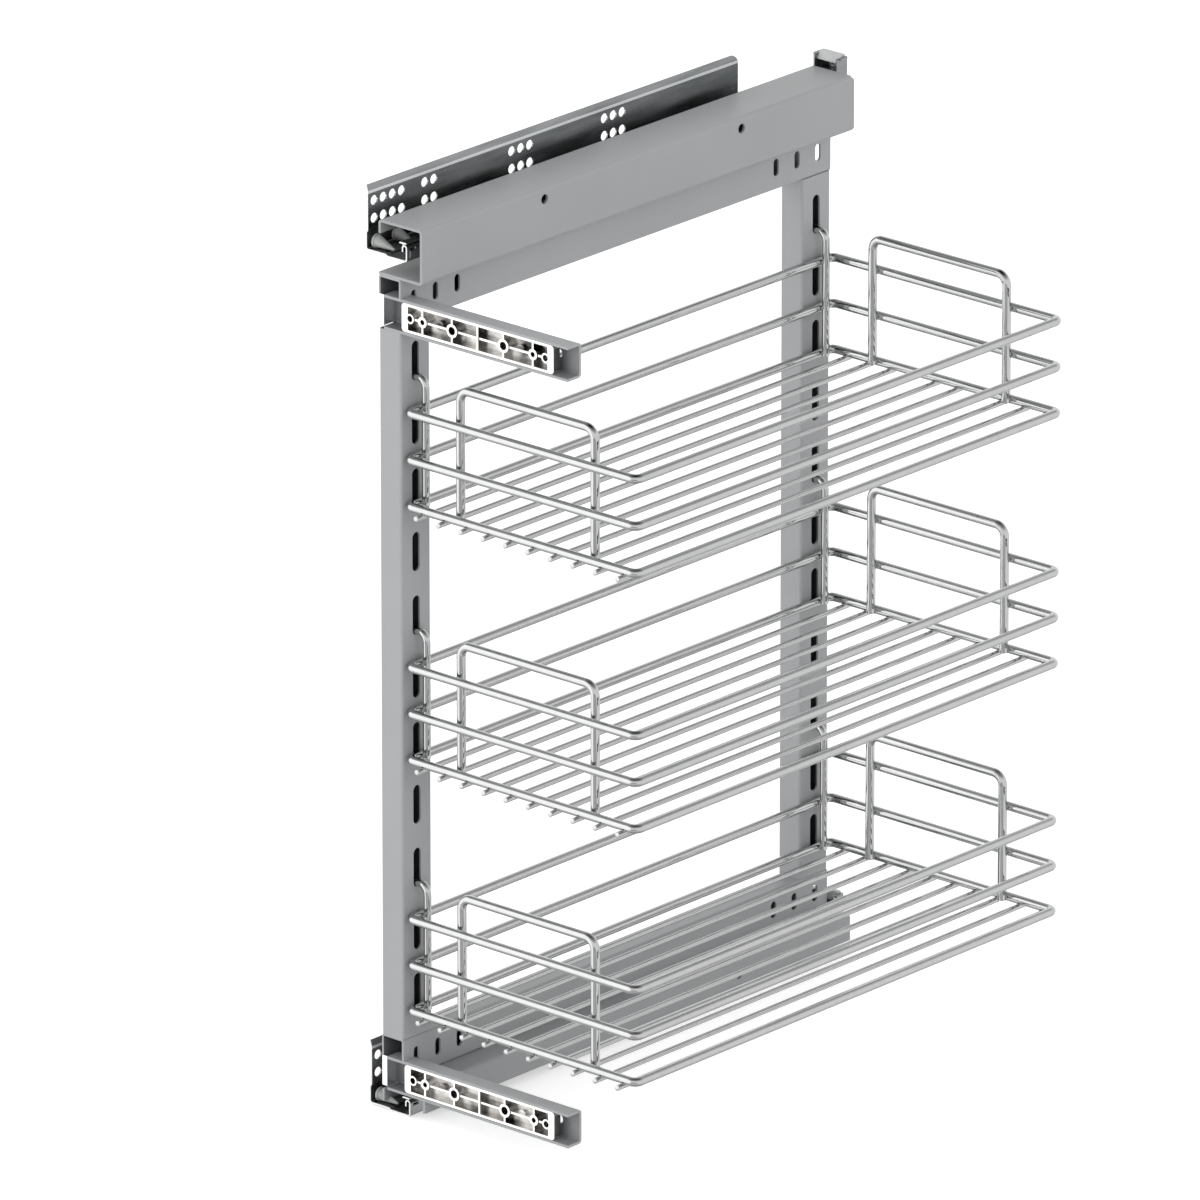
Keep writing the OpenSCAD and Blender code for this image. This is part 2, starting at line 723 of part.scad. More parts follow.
module rail_loop(z) {
  r = rail_bend;
  d = rail_wire;
  x0 = x_left_rail;
  x1 = x_right_rail;
  y0 = y_front_rail;
  y1 = y_rear_rail;
  for (y = [y0, y1]) bar_x(x0 + r, x1 - r, y, z, d);
  for (x = [x0, x1]) bar_y(y0 + r, y1 - r, x, z, d);
  translate([x1 - r, y1 - r, z]) quarter(r, d);
  translate([x0 + r, y1 - r, z]) rotate([0, 0, 90]) quarter(r, d);
  translate([x0 + r, y0 + r, z]) rotate([0, 0, 180]) quarter(r, d);
  translate([x1 - r, y0 + r, z]) rotate([0, 0, 270]) quarter(r, d);
}

module basket_rails(level) {
  color([0.82, 0.83, 0.84]) for (i = [0 : 2]) rail_loop(rail_z(level) + i * basket_h / 2);
}

module basket_floor(level) {
  z = rail_z(level) - (rail_wire + floor_wire) / 2 + weld;
  color([0.82, 0.83, 0.84]) for (i = [0 : floor_n - 1])
    bar_y(-floor_poke, basket_l + floor_poke, x_basket_mid + (i - (floor_n - 1) / 2) * floor_pitch, z,
          floor_wire);
}

// A guard is one bent wire: its straight runs and its two bends
module basket_guards(level) {
  z0 = rail_z(level) - leg_end;
  z1 = rail_z(level) + guard_h;
  color([0.82, 0.83, 0.84]) for (y = y_guards) {
    for (x = x_guard_legs) bar_z(z0, z1 - guard_bend, x, y, rail_wire);
    bar_x(x_guard_legs[0] + guard_bend, x_guard_legs[1] - guard_bend, y, z1, rail_wire);
  }
}

module basket_guard_bends(level) {
  r = guard_bend;
  d = rail_wire;
  z = rail_z(level) + guard_h - r;
  color([0.82, 0.83, 0.84]) for (y = y_guards) {
    translate([x_guard_legs[1] - r, y, z]) rotate([90, 0, 0]) quarter(r, d);
    translate([x_guard_legs[0] + r, y, z]) rotate([90, 0, 180]) mirror([0, 0, 1]) quarter(r, d);
  }
}

module basket_hooks(level) {
  d = hook_wire;
  r = hook_bend;
  q = hook_tip_bend;
  z1 = hook_z(level);
  color([0.82, 0.83, 0.84]) for (y = y_posts) {
    x = x_hook - weld;
    bar_z(rail_z(level) - leg_end, z1 - r, x, y, d);
    translate([x - r, y, z1 - r]) rotate([90, 0, 0]) quarter(r, d);
    bar_x(x_hook_tip + q, x - r, y, z1, d);
    translate([x_hook_tip + q, y, z1 - q]) rotate([90, 0, 180]) mirror([0, 0, 1]) quarter(q, d);
    bar_z(z1 - q - hook_tip_l, z1 - q, x_hook_tip, y, d);
  }
}

cabinet_member(z_upper_runner);  // upper_cabinet_member
cabinet_member(0);  // lower_cabinet_member
guide_cones(z_upper_runner, false);  // upper_guide_cones
guide_cones(0, true);  // lower_guide_cones
middle_member(z_upper_runner);  // upper_middle_member
middle_member(0);  // lower_middle_member
outer_cage(z_upper_runner);  // upper_outer_cage
outer_rollers(z_upper_runner);  // upper_outer_rollers
inner_cage(z_upper_runner);  // upper_inner_cage
inner_rollers(z_upper_runner);  // upper_inner_rollers
outer_cage(0);  // lower_outer_cage
outer_rollers(0);  // lower_outer_rollers
inner_cage(0);  // lower_inner_cage
inner_rollers(0);  // lower_inner_rollers
drawer_member(z_upper_runner);  // upper_drawer_member
drawer_member(0);  // lower_drawer_member
rear_clip(z_upper_runner);  // upper_rear_clip
rear_clip(0);  // lower_rear_clip
clip_block(z_upper_runner);  // upper_clip_block
clip_block(0);  // lower_clip_block
clip_screw(z_upper_runner);  // upper_clip_screw
clip_screw(0);  // lower_clip_screw
upper_carrier();
lower_carrier();
upper_rail();
lower_rail();
front_post();
rear_post();
bracket_block(z_upper_bracket);  // upper_bracket_block
bracket_block(z_lower_bracket);  // lower_bracket_block
door_bracket(z_upper_bracket);  // upper_door_bracket
door_bracket(z_lower_bracket);  // lower_door_bracket
door_adapter(z_upper_bracket);  // upper_door_adapter
door_adapter(z_lower_bracket);  // lower_door_adapter
adapter_screws(z_upper_bracket);  // upper_adapter_screws
adapter_screws(z_lower_bracket);  // lower_adapter_screws
basket_rails(2);  // top_basket_rails
basket_floor(2);  // top_basket_floor
basket_guards(2);  // top_basket_guards
basket_guard_bends(2);  // top_basket_guard_bends
basket_hooks(2);  // top_basket_hooks
basket_rails(1);  // middle_basket_rails
basket_floor(1);  // middle_basket_floor
basket_guards(1);  // middle_basket_guards
basket_guard_bends(1);  // middle_basket_guard_bends
basket_hooks(1);  // middle_basket_hooks
basket_rails(0);  // bottom_basket_rails
basket_floor(0);  // bottom_basket_floor
basket_guards(0);  // bottom_basket_guards
basket_guard_bends(0);  // bottom_basket_guard_bends
basket_hooks(0);  // bottom_basket_hooks
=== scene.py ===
"""Looks for a side-mounted pull-out frame with three hook-on wire baskets.

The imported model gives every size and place. Each sub-assembly below is a class: it rebuilds its own
pieces with rounded edges, drawn wires and welds, dresses them in a finish, and lets them ride on the
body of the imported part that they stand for. Lengths are in metres, +Z is up, -Y is the front.
"""

import logging
import math
from dataclasses import dataclass, field
from enum import Enum

import bmesh
import bpy
from mathutils import Matrix, Vector


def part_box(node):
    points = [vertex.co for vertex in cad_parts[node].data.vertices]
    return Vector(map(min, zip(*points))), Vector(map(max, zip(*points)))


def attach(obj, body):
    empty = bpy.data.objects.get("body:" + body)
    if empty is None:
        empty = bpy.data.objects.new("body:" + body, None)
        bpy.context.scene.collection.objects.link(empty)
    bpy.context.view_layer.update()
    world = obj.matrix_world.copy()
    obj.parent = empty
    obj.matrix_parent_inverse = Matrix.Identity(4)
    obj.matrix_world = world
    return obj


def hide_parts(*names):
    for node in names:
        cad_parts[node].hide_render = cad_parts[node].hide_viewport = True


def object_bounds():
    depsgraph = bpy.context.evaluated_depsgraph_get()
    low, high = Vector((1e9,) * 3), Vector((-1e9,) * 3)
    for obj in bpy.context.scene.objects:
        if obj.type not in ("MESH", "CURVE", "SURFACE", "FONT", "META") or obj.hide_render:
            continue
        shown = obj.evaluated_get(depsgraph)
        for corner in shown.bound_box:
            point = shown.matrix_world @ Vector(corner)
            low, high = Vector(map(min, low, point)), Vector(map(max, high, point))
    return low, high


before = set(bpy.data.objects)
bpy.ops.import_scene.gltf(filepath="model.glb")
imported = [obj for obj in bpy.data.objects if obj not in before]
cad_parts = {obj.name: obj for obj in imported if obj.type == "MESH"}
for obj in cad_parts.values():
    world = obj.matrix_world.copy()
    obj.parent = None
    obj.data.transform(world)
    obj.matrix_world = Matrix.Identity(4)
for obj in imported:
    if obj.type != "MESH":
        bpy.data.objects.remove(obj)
CAD_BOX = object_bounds()
CAD_MIDDLE = (CAD_BOX[0] + CAD_BOX[1]) / 2
MM = 0.001
RAMP_LOW = 0.3
RAMP_HIGH = 0.7
MOTTLE_DETAIL = 4.0
GRAIN_DETAIL = 2.0
MERGE_DISTANCE = 0.002 * MM
CUT_DISTANCE = 0.001 * MM
FLAT_ANGLE = math.radians(0.5)
FACES_AN_AXIS = 0.99
FACES_THE_ROOM = 0.5
LOG = logging.getLogger("pull_out_basket")


class Axis(Enum):
    """The three directions of the part's frame."""

    X = Vector((1, 0, 0))
    Y = Vector((0, 1, 0))
    Z = Vector((0, 0, 1))


class ShaderBench:
    """Adds and links the nodes of one material."""

    def __init__(self, name: str) -> None:
        """Starts an empty material with its output and one Principled shader.

        Args:
            name: the material's name.
        """
        self.material = bpy.data.materials.new(name)
        self.material.use_nodes = True
        self.tree = self.material.node_tree
        self.tree.nodes.clear()
        self.output = self.add("ShaderNodeOutputMaterial")
        self.shader = self.add("ShaderNodeBsdfPrincipled")
        self.link(self.shader, "BSDF", self.output, "Surface")

    def add(self, kind: str, **settings: object) -> bpy.types.Node:
        """Adds a node.

        Args:
            kind: the node's type name.
            settings: values for its properties, and for the sockets whose names they match.

        Returns:
            The new node.
        """
        node = self.tree.nodes.new(kind)
        for key, value in settings.items():
            if hasattr(node, key):
                setattr(node, key, value)
            else:
                node.inputs[key.replace("_", " ")].default_value = value
        return node

    def link(self, source: bpy.types.Node, out: str, target: bpy.types.Node, into: str) -> None:
        """Links an output socket to an input socket, both by name."""
        self.tree.links.new(source.outputs[out], target.inputs[into])

    def noise(self, scale: float, detail: float, stretch: tuple[float, float, float]) -> bpy.types.Node:
        """Adds a noise pattern on Object coordinates.

        Args:
            scale: features per metre.
            detail: how many finer octaves it has.
            stretch: factors on the coordinates, below 1 to draw the pattern out along an axis.

        Returns:
            The noise node.
        """
        place = self.add("ShaderNodeTexCoord")
        mapping = self.add("ShaderNodeMapping", Scale=stretch)
        self.link(place, "Object", mapping, "Vector")
        grain = self.add("ShaderNodeTexNoise", Scale=scale, Detail=detail)
        self.link(mapping, "Vector", grain, "Vector")
        return grain

    def vary_color(self, pattern: bpy.types.Node, dark: tuple, light: tuple) -> None:
        """Lets the base colour wander between two close tones.

        Args:
            pattern: a noise node.
            dark: the colour at the pattern's low end.
            light: the colour at its high end.
        """
        ramp = self.add("ShaderNodeValToRGB")
        ramp.color_ramp.elements[0].position = RAMP_LOW
        ramp.color_ramp.elements[0].color = (*dark, 1)
        ramp.color_ramp.elements[1].position = RAMP_HIGH
        ramp.color_ramp.elements[1].color = (*light, 1)
        self.link(pattern, "Fac", ramp, "Fac")
        self.link(ramp, "Color", self.shader, "Base Color")

    def vary_roughness(self, pattern: bpy.types.Node, low: float, high: float) -> None:
        """Lets the roughness wander between two values with a pattern."""
        spread = self.add("ShaderNodeMapRange", To_Min=low, To_Max=high)
        spread.inputs["From Min"].default_value = RAMP_LOW
        spread.inputs["From Max"].default_value = RAMP_HIGH
        self.link(pattern, "Fac", spread, "Value")
        self.link(spread, "Result", self.shader, "Roughness")

    def raise_grain(self, pattern: bpy.types.Node, height: float, strength: float) -> None:
        """Adds a fine relief.

        Args:
            pattern: the node whose Fac output is the height.
            height: the relief's height in metres.
            strength: how much of it is used.
        """
        bump = self.add("ShaderNodeBump", Strength=strength, Distance=height)
        self.link(pattern, "Fac", bump, "Height")
        self.link(bump, "Normal", self.shader, "Normal")


@dataclass(frozen=True)
class Finish:
    """A surface finish that one material holds.

    Attributes:
        name: the material's name.
        slot: the record's material slot for pieces whose main finish this is; not used.
        dark: the base colour where the mottle is low.
        light: the base colour where the mottle is high.
        metallic: 0 for paint and plastic, 1 for bare metal.
        rough_low: the roughness where the mottle is low.
        rough_high: the roughness where the mottle is high.
        mottle_scale: the mottle's features per metre.
        grain_scale: the relief's features per metre.
        grain_height: the relief's height in metres.
        grain_strength: how much of the relief is used.
        stretch: factors on both patterns' coordinates, below 1 to draw them out along an axis.
    """

    name: str
    slot: str
    dark: tuple[float, float, float]
    light: tuple[float, float, float]
    metallic: float
    rough_low: float
    rough_high: float
    mottle_scale: float
    grain_scale: float
    grain_height: float
    grain_strength: float
    stretch: tuple[float, float, float] = (1.0, 1.0, 1.0)

    def material(self) -> bpy.types.Material:
        """Builds the material, or finds it if it is there already."""
        known = bpy.data.materials.get(self.name)
        if known is not None:
            return known
        bench = ShaderBench(self.name)
        bench.shader.inputs["Metallic"].default_value = self.metallic
        mottle = bench.noise(self.mottle_scale, MOTTLE_DETAIL, self.stretch)
        bench.vary_color(mottle, self.dark, self.light)
        bench.vary_roughness(mottle, self.rough_low, self.rough_high)
        grain = bench.noise(self.grain_scale, GRAIN_DETAIL, self.stretch)
        bench.raise_grain(grain, self.grain_height, self.grain_strength)
        return bench.material


POWDER_GREY = Finish("powder_coat_grey", "frame_paint", (0.375, 0.385, 0.395), (0.405, 0.415, 0.42),
                     0.0, 0.36, 0.46, 9.0, 1400.0, 0.00004, 0.35)
CARRIER_GREY = Finish("powder_coat_carrier", "carrier_steel", (0.355, 0.365, 0.375), (0.385, 0.395, 0.4),
                      0.0, 0.36, 0.46, 9.0, 1400.0, 0.00004, 0.35)
GALVANISED = Finish("galvanised_sheet", "runner_steel", (0.2, 0.21, 0.215), (0.36, 0.37, 0.375),
                    1.0, 0.22, 0.38, 120.0, 900.0, 0.00003, 0.3, (1.0, 0.12, 1.0))
# Painted reflection: the sheet's cut ends get a near-white tone that stands in for the light they
# mirror.
CUT_EDGE_GLINT = Finish("cut_edge_painted_glint", "runner_steel", (0.86, 0.86, 0.86), (0.94, 0.94, 0.94),
                   0.2, 0.35, 0.5, 300.0, 2500.0, 0.00003, 0.3)
CHROME = Finish("bright_chrome", "wire_chrome", (0.54, 0.545, 0.545), (0.575, 0.58, 0.578),
                1.0, 0.035, 0.06, 160.0, 1600.0, 0.00001, 0.1)
BRIGHT_NICKEL = Finish("nickel_adapter", "adapter_metal", (0.84, 0.825, 0.80), (0.9, 0.885, 0.865),
                       1.0, 0.12, 0.2, 90.0, 1800.0, 0.00002, 0.25)
# Painted shade: the adapter's pocket faces wander from near black to light, the shade in its recesses
# painted into their colour.
NICKEL_POCKET_SHADE = Finish("nickel_pocket_painted_shade", "adapter_metal", (0.07, 0.068, 0.066), (0.78, 0.76, 0.735),
                       1.0, 0.2, 0.32, 60.0, 1800.0, 0.00002, 0.25)
# Painted shade: the adapter's end faces are dark grey, for the dark channel they mirror and the shade
# they lie in.
NICKEL_END_SHADE = Finish("nickel_end_painted_shade", "adapter_metal", (0.15, 0.148, 0.144), (0.25, 0.246, 0.24),
                    1.0, 0.28, 0.4, 60.0, 1800.0, 0.00002, 0.25)
# Painted shade: the tubes' inner faces are near black, for the shade inside the closed tubes.
TUBE_INSIDE_SHADE = Finish("tube_inside_painted_shade", "frame_paint", (0.1, 0.104, 0.108), (0.14, 0.145, 0.15),
                     0.0, 0.45, 0.55, 9.0, 1400.0, 0.00004, 0.35)
# Painted shade: the bracket's inner faces are darker than its paint, for the shade inside its channel.
BRACKET_INSIDE_SHADE = Finish("bracket_inside_painted_shade", "frame_paint", (0.2, 0.207, 0.214), (0.27, 0.278, 0.285),
                        0.0, 0.4, 0.5, 9.0, 1400.0, 0.00004, 0.35)
# Painted highlight: a bright band along the cabinet member's flange bend.
BEND_HIGHLIGHT = Finish("painted_bend_highlight", "runner_steel", (0.68, 0.7, 0.7), (0.82, 0.83, 0.83),
                   0.2, 0.3, 0.4, 120.0, 900.0, 0.00002, 0.2, (1.0, 0.12, 1.0))
BLOCK_ZINC = Finish("zinc_filler_block", "block_steel", (0.86, 0.86, 0.86), (0.92, 0.92, 0.92),
                    1.0, 0.14, 0.22, 90.0, 1800.0, 0.00002, 0.2)
GUIDE_GREY = Finish("guide_cone_grey", "guide_plastic", (0.36, 0.37, 0.355), (0.42, 0.43, 0.415),
                    0.0, 0.3, 0.42, 60.0, 2200.0, 0.00003, 0.3)
CLIP_GREY = Finish("clip_block_grey", "clip_plastic", (0.5, 0.51, 0.51), (0.57, 0.58, 0.58),
                   0.0, 0.35, 0.45, 60.0, 2200.0, 0.00003, 0.3)
CAGE_BLACK = Finish("cage_black", "cage_plastic", (0.012, 0.012, 0.013), (0.02, 0.02, 0.021),
                    0.0, 0.35, 0.5, 60.0, 2200.0, 0.00003, 0.3)
ROLLER_STEEL = Finish("ground_rollers", "roller_steel", (0.6, 0.61, 0.62), (0.7, 0.71, 0.72),
                      1.0, 0.16, 0.24, 200.0, 2500.0, 0.00002, 0.2)
ZINC_SCREW = Finish("zinc_screws", "screw_steel", (0.52, 0.53, 0.54), (0.66, 0.67, 0.68),
                    1.0, 0.2, 0.34, 260.0, 2500.0, 0.00003, 0.3)


@dataclass
class Workpiece:
    """A mesh under construction, which becomes one piece of the object."""

    name: str
    body: str
    replaced: tuple[str, ...]
    finish: Finish
    bm: bmesh.types.BMesh = field(default_factory=bmesh.new)
    smooth_angle: float = math.radians(32)

    def finish_piece(self, *extras: Finish) -> bpy.types.Object:
        """Turns the mesh into an object that rides on its body.

        Args:
            extras: more finishes, for the faces whose material index is 1 and up.

        Returns:
            The new object.
        """
        for face in self.bm.faces:
            face.smooth = True
        for edge in self.bm.edges:
            edge.smooth = edge.is_manifold and edge.calc_face_angle(0.0) < self.smooth_angle
        mesh = bpy.data.meshes.new(self.name)
        self.bm.to_mesh(mesh)
        self.bm.free()
        mesh.materials.append(self.finish.material())
        for extra in extras:
            mesh.materials.append(extra.material())
        piece = bpy.data.objects.new(self.name, mesh)
        bpy.context.scene.collection.objects.link(piece)
        even = piece.modifiers.new("even_shading", "WEIGHTED_NORMAL")
        even.keep_sharp = True
        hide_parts(*self.replaced)
        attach(piece, self.body)
        LOG.info("%s: %d faces on %s", self.name, len(mesh.polygons), self.body)
        return piece


@dataclass
class WireForge:
    """Draws round wire: a circle pushed along straight runs and spun round bends.

    Attributes:
        bm: the mesh that the wire is drawn in.
        radius: the wire's radius.
        sides: the number of faces round the wire.
        bend_step: the turn from ring to ring in a bend.
        dome_turns: where a dome's rings lie, in quarter turns from the wire's side to its tip.
        dome_step: the angle that each ring's rise is taken over.
        dome_squeeze: what the rises are divided by, so that the dome keeps to its height.
        dome_tip: the smallest ring's share of the radius.
    """

    bm: bmesh.types.BMesh
    radius: float
    sides: int = 24
    bend_step: float = math.radians(11.25)
    dome_turns: tuple[float, ...] = (0.35, 0.7, 0.95)
    dome_step: float = 0.35
    dome_squeeze: float = 1.1
    dome_tip: float = 0.12

    def start(self, place: Vector, along: Vector) -> list:
        """Lays the first ring.

        Args:
            place: the ring's centre.
            along: the direction that the wire leaves in.

        Returns:
            The ring's edges.
        """
        turn = along.to_track_quat("Z", "Y").to_matrix().to_4x4()
        made = bmesh.ops.create_circle(self.bm, cap_ends=False, segments=self.sides, radius=self.radius,
                                       matrix=Matrix.Translation(place) @ turn)
        return list({edge for vert in made["verts"] for edge in vert.link_edges})

    def run(self, ring: list, way: Vector) -> list:
        """Pushes a ring along a straight stretch and returns the new ring's edges."""
        made = bmesh.ops.extrude_edge_only(self.bm, edges=ring)["geom"]
        verts = [part for part in made if isinstance(part, bmesh.types.BMVert)]
        bmesh.ops.translate(self.bm, verts=verts, vec=way)
        return [part for part in made if isinstance(part, bmesh.types.BMEdge)
                and part.verts[0] in verts and part.verts[1] in verts]

    def bend(self, ring: list, centre: Vector, axis: Vector, angle: float) -> list:
        """Spins a ring round a bend.

        Args:
            ring: the edges to spin.
            centre: a point on the bend's axis.
            axis: the bend's axis.
            angle: the turn in radians, by the right-hand rule.

        Returns:
            The edges of the last ring.
        """
        verts = list({vert for edge in ring for vert in edge.verts})
        steps = max(2, round(abs(angle) / self.bend_step))
        made = bmesh.ops.spin(self.bm, geom=verts + ring, cent=centre, axis=axis, dvec=(0, 0, 0),
                              angle=angle, steps=steps, use_merge=False, use_duplicate=False)
        return [part for part in made["geom_last"] if isinstance(part, bmesh.types.BMEdge)]

    def dome(self, ring: list, along: Vector, height: float) -> None:
        """Closes a ring with a shallow rounded end.

        Args:
            ring: the edges of the open end.
            along: the direction out of the wire.
            height: how far the end stands out.
        """
        width = 1.0
        for turn in self.dome_turns:
            angle = turn * math.pi / 2
            rise = math.sin(angle) - math.sin(angle - self.dome_step)
            ring = self.run(ring, along * height * rise / self.dome_squeeze)
            verts = list({vert for edge in ring for vert in edge.verts})
            middle = sum((vert.co for vert in verts), Vector()) / len(verts)
            target = max(math.cos(angle), self.dome_tip)
            bmesh.ops.scale(self.bm, vec=(target / width,) * 3, verts=verts,
                            space=Matrix.Translation(-middle))
            width = target
        bmesh.ops.contextual_create(self.bm, geom=ring)

    def weld(self, place: Vector, size: Vector) -> None:
        """Sets the small flattened bead of a resistance weld.

        Args:
            place: where the two wires meet.
            size: the bead's half sizes.
        """
        made = bmesh.ops.create_icosphere(self.bm, subdivisions=2, radius=1.0)
        bmesh.ops.scale(self.bm, vec=size, verts=made["verts"])
        bmesh.ops.translate(self.bm, vec=place, verts=made["verts"])


@dataclass
class WireBasket:
    """One basket: three closed rails, floor wires, two guards and two hooks.

    Attributes:
        level: top, middle or bottom.
        rail_bend: the bend radius of the rails' corners, and so on for the guards, hooks and hook tips.
        tip_drop: how far a hook's tip hangs down behind the slot.
        dome: the height of the floor and guard wires' rounded ends.
        hook_dome: the height of the hooks' rounded ends.
        bead: half a weld bead's width.
        bead_long: a rail weld's length in beads.
        bead_flat: a rail weld's depth in beads.
        floor_bead_flat: a floor weld's depth in beads.
        seam: the distance within which a loop's first and last ring merge.
    """

    level: str
    rail_radius: float = 3.25 * MM
    floor_radius: float = 2.0 * MM
    hook_radius: float = 2.75 * MM
    rail_bend: float = 5.0 * MM
    guard_bend: float = 8.0 * MM
    hook_bend: float = 7.0 * MM
    tip_bend: float = 4.2 * MM
    floor_wires: int = 10
    floor_sides: int = 16
    tip_drop: float = 7.0 * MM
    dome: float = 0.5 * MM
    hook_dome: float = 0.6 * MM
    bead: float = 1.5 * MM
    bead_long: float = 1.3
    bead_flat: float = 0.6
    floor_bead_flat: float = 0.7
    seam: float = 0.01 * MM

    def node(self, kind: str) -> str:
        """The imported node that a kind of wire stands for."""
        return f"{self.level}_basket_{kind}"

    def piece(self, name: str, *kinds: str) -> Workpiece:
        """Starts the piece that stands for one or more kinds of wire."""
        nodes = tuple(self.node(kind) for kind in kinds)
        return Workpiece(f"{self.level}_basket_{name}", f"{self.level}_basket", nodes, CHROME)

    def rail_levels(self) -> list[float]:
        """The heights of the three rails."""
        low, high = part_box(self.node("rails"))
        bottom = low.z + self.rail_radius
        top = high.z - self.rail_radius
        return [bottom, (bottom + top) / 2, top]

    def build_rails(self) -> None:
        """Bends three closed loops."""
        work = self.piece("rail_loops", "rails")
        low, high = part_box(self.node("rails"))
        forge = WireForge(work.bm, self.rail_radius)
        x0 = low.x + self.rail_radius
        x1 = high.x - self.rail_radius
        y0 = low.y + self.rail_radius
        y1 = high.y - self.rail_radius
        r = self.rail_bend
        across = x1 - x0 - 2 * r
        along = y1 - y0 - 2 * r
        for z in self.rail_levels():
            ring = forge.start(Vector((x0 + r, y0, z)), Axis.X.value)
            corners = ((x1 - r, y0 + r), (x1 - r, y1 - r), (x0 + r, y1 - r), (x0 + r, y0 + r))
            ways = (Vector((across, 0, 0)), Vector((0, along, 0)),
                    Vector((-across, 0, 0)), Vector((0, -along, 0)))
            for way, corner in zip(ways, corners):
                ring = forge.run(ring, way)
                ring = forge.bend(ring, Vector((*corner, z)), Axis.Z.value, math.pi / 2)
        bmesh.ops.remove_doubles(work.bm, verts=work.bm.verts, dist=self.seam)
        bmesh.ops.recalc_face_normals(work.bm, faces=work.bm.faces)
        work.finish_piece()

    def build_floor(self) -> None:
        """Lays the floor wires and welds them under the lowest rail."""
        work = self.piece("floor_wires", "floor")
        low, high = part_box(self.node("floor"))
        rails_low, rails_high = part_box(self.node("rails"))
        forge = WireForge(work.bm, self.floor_radius, self.floor_sides)
        z = (low.z + high.z) / 2
        first = low.x + self.floor_radius
        pitch = (high.x - low.x - 2 * self.floor_radius) / (self.floor_wires - 1)
        dome = self.dome
        bead = Vector((self.bead, self.bead, self.floor_bead_flat * self.bead))
        for index in range(self.floor_wires):
            x = first + index * pitch
            ring = forge.start(Vector((x, low.y + dome, z)), Axis.Y.value)
            forge.dome(list(ring), -Axis.Y.value, dome)
            ring = forge.run(ring, Vector((0, high.y - low.y - 2 * dome, 0)))
            forge.dome(ring, Axis.Y.value, dome)
            for y in (rails_low.y + self.rail_radius, rails_high.y - self.rail_radius):
                forge.weld(Vector((x, y, high.z)), bead)
        bmesh.ops.recalc_face_normals(work.bm, faces=work.bm.faces)
        work.finish_piece()

    def build_guards(self) -> None:
        """Bends a guard at each end and welds it to the rails."""
        work = self.piece("guard_hoops", "guards", "guard_bends")
        low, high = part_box(self.node("guards"))
        forge = WireForge(work.bm, self.rail_radius)
        x0 = low.x + self.rail_radius
        x1 = high.x - self.rail_radius
        z1 = high.z - self.rail_radius
        r = self.guard_bend
        dome = self.dome
        bead = Vector((self.bead_long, self.bead_flat, self.bead_long)) * self.bead
        for y, outward in ((low.y + self.rail_radius, -1), (high.y - self.rail_radius, 1)):
            ring = forge.start(Vector((x0, y, low.z + dome)), Axis.Z.value)
            forge.dome(list(ring), -Axis.Z.value, dome)
            ring = forge.run(ring, Vector((0, 0, z1 - r - low.z - dome)))
            ring = forge.bend(ring, Vector((x0 + r, y, z1 - r)), Axis.Y.value, math.pi / 2)
            ring = forge.run(ring, Vector((x1 - x0 - 2 * r, 0, 0)))
            ring = forge.bend(ring, Vector((x1 - r, y, z1 - r)), Axis.Y.value, math.pi / 2)
            ring = forge.run(ring, Vector((0, 0, low.z + dome + r - z1)))
            forge.dome(ring, -Axis.Z.value, dome)
            for x in (x0, x1):
                for z in self.rail_levels():
                    forge.weld(Vector((x, y + outward * self.rail_radius, z)), bead)
        bmesh.ops.recalc_face_normals(work.bm, faces=work.bm.faces)
        work.finish_piece()

    def build_hooks(self) -> None:
        """Bends the hooks that reach through the posts' slots."""
        work = self.piece("hook_wires", "hooks")
        low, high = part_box(self.node("hooks"))
        forge = WireForge(work.bm, self.hook_radius)
        x_stem = high.x - self.hook_radius
        x_tip = low.x + self.hook_radius
        z1 = high.z - self.hook_radius
        stem = self.hook_bend
        tip = self.tip_bend
        foot = low.z
        dome = self.hook_dome
        bead = Vector((self.bead_flat, self.bead_long, self.bead_long)) * self.bead
        for y in (low.y + self.hook_radius, high.y - self.hook_radius):
            ring = forge.start(Vector((x_stem, y, foot + dome)), Axis.Z.value)
            forge.dome(list(ring), -Axis.Z.value, dome)
            ring = forge.run(ring, Vector((0, 0, z1 - stem - foot - dome)))
            ring = forge.bend(ring, Vector((x_stem - stem, y, z1 - stem)), Axis.Y.value, -math.pi / 2)
            ring = forge.run(ring, Vector((x_tip + tip - x_stem + stem, 0, 0)))
            ring = forge.bend(ring, Vector((x_tip + tip, y, z1 - tip)), Axis.Y.value, -math.pi / 2)
            ring = forge.run(ring, Vector((0, 0, dome - self.tip_drop)))
            forge.dome(ring, -Axis.Z.value, dome)
            for z in self.rail_levels():
                forge.weld(Vector((x_stem - self.hook_radius, y, z)), bead)
        bmesh.ops.recalc_face_normals(work.bm, faces=work.bm.faces)
        work.finish_piece()

    def build(self) -> None:
        """Makes all four kinds of wire."""
        self.build_rails()
        self.build_floor()
        self.build_guards()
        self.build_hooks()


